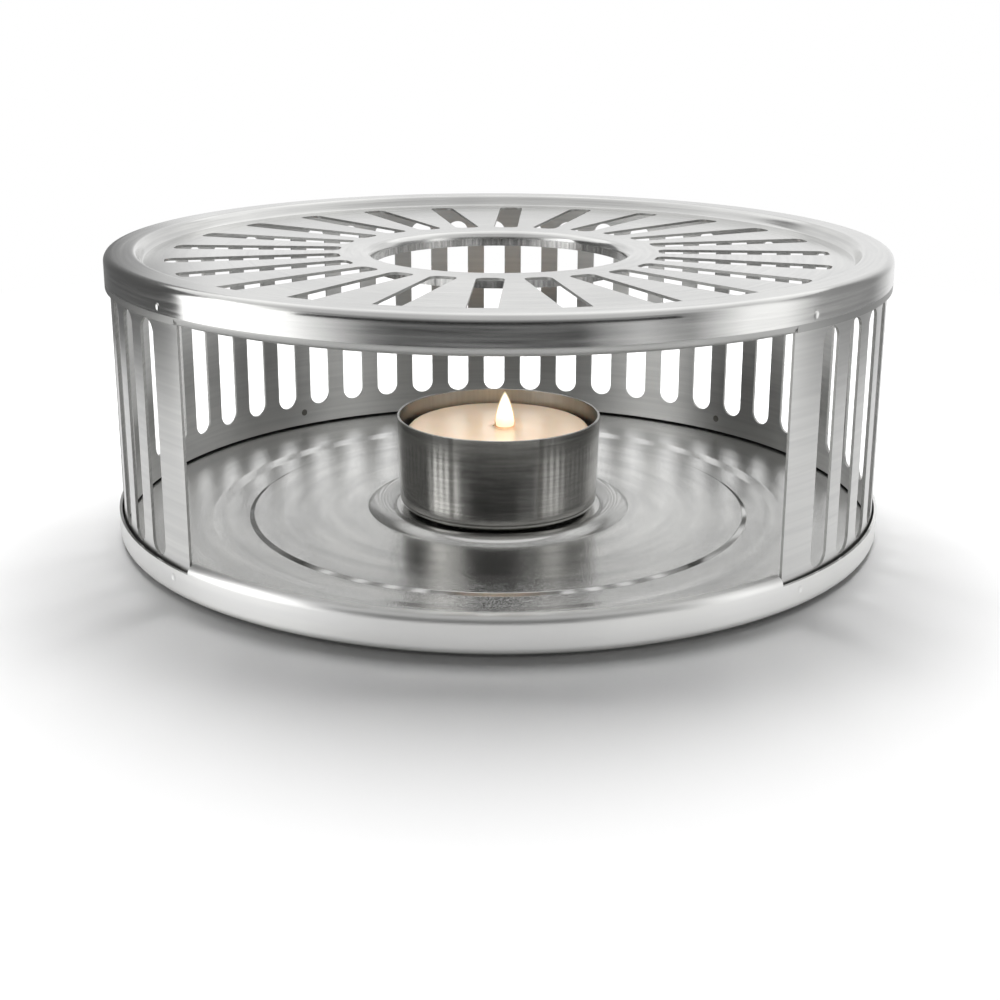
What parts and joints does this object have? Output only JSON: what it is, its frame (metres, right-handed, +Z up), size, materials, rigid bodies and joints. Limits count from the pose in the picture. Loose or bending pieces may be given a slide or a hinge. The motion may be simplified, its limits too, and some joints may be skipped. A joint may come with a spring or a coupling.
{
  "type": "teapot warmer",
  "caption": "Round brushed-steel teapot warmer: slotted wall with a wide front opening, radial-slot top with a centre hole, and a loose cup that holds a tealight.",
  "frame": {"origin": "on the table, under the centre of the round body", "axes": "+Z up, the wide opening faces -Y, +X to the right as seen from the opening"},
  "size_m": [0.15, 0.15, 0.055],
  "materials": {
    "brushed_stainless": "fine brushed",
    "weld_steel": "spot weld, hidden between the sheets",
    "cup_stainless": "turned, brushed round the wall",
    "tealight_aluminium": "bright drawn foil",
    "wax": "soft wax",
    "tinplate": "tinned",
    "wick_cotton": "burnt cotton"
  },
  "bodies": {
    "stand": {"base_tray": "brushed_stainless", "slotted_wall": "brushed_stainless", "top_grille": "brushed_stainless", "weld_tray_front_left": "weld_steel", "weld_grille_front_left": "weld_steel", "weld_tray_front_right": "weld_steel", "weld_grille_front_right": "weld_steel", "weld_tray_back_left": "weld_steel", "weld_grille_back_left": "weld_steel", "weld_tray_back_right": "weld_steel", "weld_grille_back_right": "weld_steel"},
    "candle_cup": {"candle_cup": "cup_stainless"},
    "tealight": {"tealight_can": "tealight_aluminium", "tealight_wax": "wax", "wick_sustainer": "tinplate", "tealight_wick": "wick_cotton"}
  },
  "joints": [
    {"name": "candle_cup_lift", "type": "slide", "parent": "stand", "child": "candle_cup", "axis": [0, 0, 1], "range_m": [0, 0.06]},
    {"name": "tealight_lift", "type": "slide", "parent": "candle_cup", "child": "tealight", "axis": [0, 0, 1], "range_m": [0, 0.025]}
  ]
}
